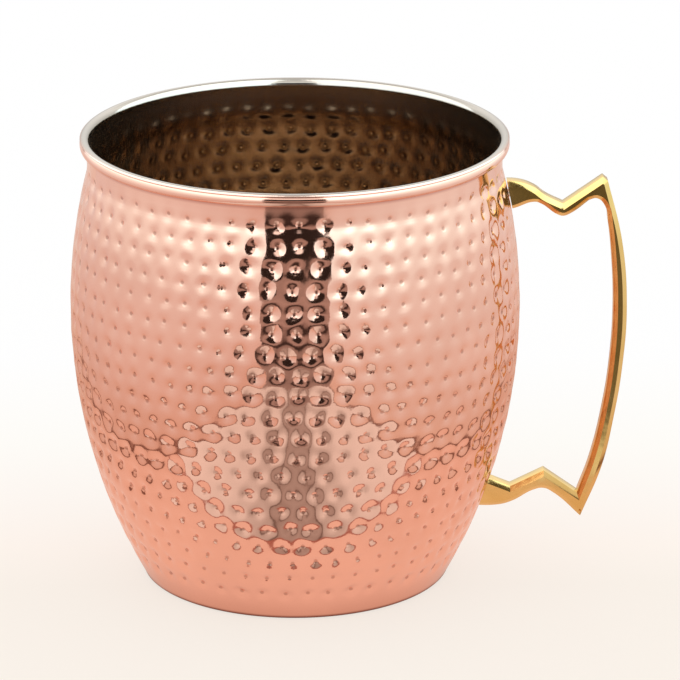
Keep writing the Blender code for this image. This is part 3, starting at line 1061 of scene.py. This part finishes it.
def brown_board_material():
    """A clear board with a faint brown glow, uneven like cloth."""
    material, tree, output = new_material("brown board")
    cloth = noise(tree, object_place(tree), 9.0, 2.0, 0.5)["Fac"]
    tint = mix_colours(tree, smooth_range(tree, cloth, 0.3, 0.7), *BOARD_TONES)
    glow = add_node(tree, "ShaderNodeEmission", tint, 1.0)
    clear = add_node(tree, "ShaderNodeBsdfTransparent", (1.0, 1.0, 1.0, 1.0))
    both = add_node(tree, "ShaderNodeAddShader")
    tree.links.new(glow, both.node.inputs[0])
    tree.links.new(clear, both.node.inputs[1])
    tree.links.new(both, output.inputs["Surface"])
    return material


# Only the handle sees this board, which stands just in front of that panel.
board_corners = [
    (x - BOARD_INSET, y, height) for height in (0.0, PANEL_HEIGHT) for x, y in PANEL_FOOT[:2]
]
brown_board = add_stage("brown_board", board_corners, [(0, 1, 3, 2)], brown_board_material(), True)
handle_alone = bpy.data.collections.new("in the brown board's light")
handle_alone.objects.link(cast_handle)
brown_board.light_linking.receiver_collection = handle_alone
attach(cast_handle, "root")
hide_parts("handle")


# ---- Fixings --------------------------------------------------------------------
# A nickel-plated slotted screw goes in from inside the mug through the wall into each foot of the
# handle. A flat washer lies under its head, and a silicone gasket seals the hole in the lining.

FOOT_HEIGHTS = {"upper": 183.0 * MM, "lower": 36.2 * MM}
SLOT_TURN = {"upper": math.radians(24.0), "lower": math.radians(-58.0)}
SHANK_RADIUS = 1.9 * MM
SCREW_REACH = 7.0 * MM
SCREW_TIP = 0.6 * MM
HEAD_RADIUS = 4.2 * MM
HEAD_HEIGHT = 2.6 * MM
HEAD_EDGE = 0.35 * MM
SLOT_WIDTH = 1.1 * MM
SLOT_DEPTH = 1.2 * MM
WASHER_RADIUS = 6.0 * MM
WASHER_THICKNESS = 0.8 * MM
WASHER_EDGE = 0.2 * MM
GASKET_RADIUS = 5.5 * MM
GASKET_THICKNESS = 1.0 * MM
GASKET_EDGE = 0.4 * MM
SMALL_COLUMNS = 72
SHARP_EDGE = math.radians(38.0)
PLATED_STEEL_TONES = ((0.60, 0.56, 0.50), (0.68, 0.64, 0.57))
SILICONE_TONES = ((0.76, 0.75, 0.72), (0.86, 0.85, 0.82))
SILICONE_GRAIN = 0.03 * MM

GASKET_BOTTOM = INSIDE + 0.6 * MM
WASHER_BOTTOM = GASKET_BOTTOM + GASKET_THICKNESS + FIT_GAP
HEAD_BOTTOM = WASHER_BOTTOM + WASHER_THICKNESS + FIT_GAP


def quarter_round(centre, radius, first_angle):
    """A quarter turn of a circle, from this angle in degrees."""
    return [
        (centre[0] + radius * math.cos(a), centre[1] + radius * math.sin(a))
        for a in (math.radians(d) for d in spread(first_angle, first_angle + 90.0, 5))
    ]


def ring_outline(outer, bottom, thickness, edge):
    """A flat ring with rounded edges that fits round the screw's shank."""
    inner = SHANK_RADIUS + FIT_GAP + edge
    low, high = bottom + edge, bottom + thickness - edge
    return (
        quarter_round((outer - edge, low), edge, -90.0)
        + quarter_round((outer - edge, high), edge, 0.0)
        + quarter_round((inner, high), edge, 90.0)
        + quarter_round((inner, low), edge, 180.0)
    )


def screw_outline():
    """From the tip of the shank up to the top of the domed head."""
    shoulder = (HEAD_RADIUS - HEAD_EDGE, HEAD_BOTTOM + HEAD_EDGE)
    dome_height = HEAD_HEIGHT - HEAD_EDGE
    dome = [
        (HEAD_RADIUS * math.cos(a), shoulder[1] + dome_height * math.sin(a))
        for a in spread(0.0, math.pi / 2, 14)
    ]
    return (
        [(0.0, -SCREW_REACH), (SHANK_RADIUS - SCREW_TIP, -SCREW_REACH)]
        + [(SHANK_RADIUS, SCREW_TIP - SCREW_REACH), (SHANK_RADIUS, HEAD_BOTTOM)]
        + quarter_round(shoulder, HEAD_EDGE, -90.0)[:-1]
        + dome[:-1] + [(0.0, HEAD_BOTTOM + HEAD_HEIGHT)]
    )


def through_wall(height):
    """A fixing's place on the wall's outer face at this height, with its Z axis pointing inwards."""
    angle = math.asin((height - BELLY_HEIGHT) / BARREL_CURVE)
    radius = wall_point(angle, 0.0)[0]
    lean = math.atan2(-math.cos(angle), -math.sin(angle))
    turn = Euler((0.0, lean, 0.0)).to_matrix().to_4x4()
    return Matrix.Translation((radius, 0.0, height)) @ turn


def turned_piece(name, outline, stand, material):
    """A small turned piece, standing in its place on the wall."""
    mesh = turn_section(name, plain(outline), [], SMALL_COLUMNS)
    for kind in ("sheet_place", "inward"):
        mesh.attributes.remove(mesh.attributes[kind])
    mesh.transform(stand)
    mesh.materials.append(material)
    obj = bpy.data.objects.new(name, mesh)
    bpy.context.scene.collection.objects.link(obj)
    return obj


def slot_tool(stand, turn):
    """The saw that cuts the screwdriver slot across a head."""
    work = bmesh.new()
    bmesh.ops.create_cube(work, size=1.0)
    mesh = bpy.data.meshes.new("slot_tool")
    work.to_mesh(mesh)
    work.free()
    size = Matrix.Diagonal((HEAD_RADIUS * 3, SLOT_WIDTH, SLOT_DEPTH * 2, 1.0))
    at = Matrix.Translation((0.0, 0.0, HEAD_BOTTOM + HEAD_HEIGHT))
    mesh.transform(stand @ Matrix.Rotation(turn, 4, "Z") @ at @ size)
    tool = bpy.data.objects.new("slot_tool", mesh)
    bpy.context.scene.collection.objects.link(tool)
    return tool


def silicone_material():
    """Milky silicone, matt, with a faint mottle from moulding."""
    material, tree, output = new_material("milky silicone")
    place = object_place(tree)
    tone = noise(tree, place, 350.0, 2.0, 0.5)["Fac"]
    colour = mix_colours(tree, smooth_range(tree, tone, 0.3, 0.7), *SILICONE_TONES)
    grain = noise(tree, place, 2500.0, 2.0, 0.5)["Fac"]
    relief = maths(tree, "MULTIPLY", grain, SILICONE_GRAIN)
    finish_surface(tree, output, colour, relief, roughness=0.55, metallic=0.0)
    return material


plated_steel = worked_metal(
    "nickel-plated steel", PLATED_STEEL_TONES, patch_scale=200.0, grain_scale=900.0,
    grain_depth=0.02 * MM, roughness=0.18,
)
silicone = silicone_material()
for position, height in FOOT_HEIGHTS.items():
    stand = through_wall(height)
    gasket_outline = ring_outline(GASKET_RADIUS, GASKET_BOTTOM, GASKET_THICKNESS, GASKET_EDGE)
    washer_outline = ring_outline(WASHER_RADIUS, WASHER_BOTTOM, WASHER_THICKNESS, WASHER_EDGE)
    gasket = turned_piece(position + "_moulded_gasket", gasket_outline, stand, silicone)
    washer = turned_piece(position + "_flat_washer", washer_outline, stand, plated_steel)
    screw = turned_piece(position + "_slotted_screw", screw_outline(), stand, plated_steel)
    cut_away(screw, slot_tool(stand, SLOT_TURN[position]))
    for piece, node, finish in (
        (gasket, "_gasket", "silicone"), (washer, "_washer", "nickel"), (screw, "_screw", "nickel"),
    ):
        piece.data.shade_smooth()
        piece.data.set_sharp_from_angle(angle=SHARP_EDGE)
        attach(piece, "root")
        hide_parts(position + node)
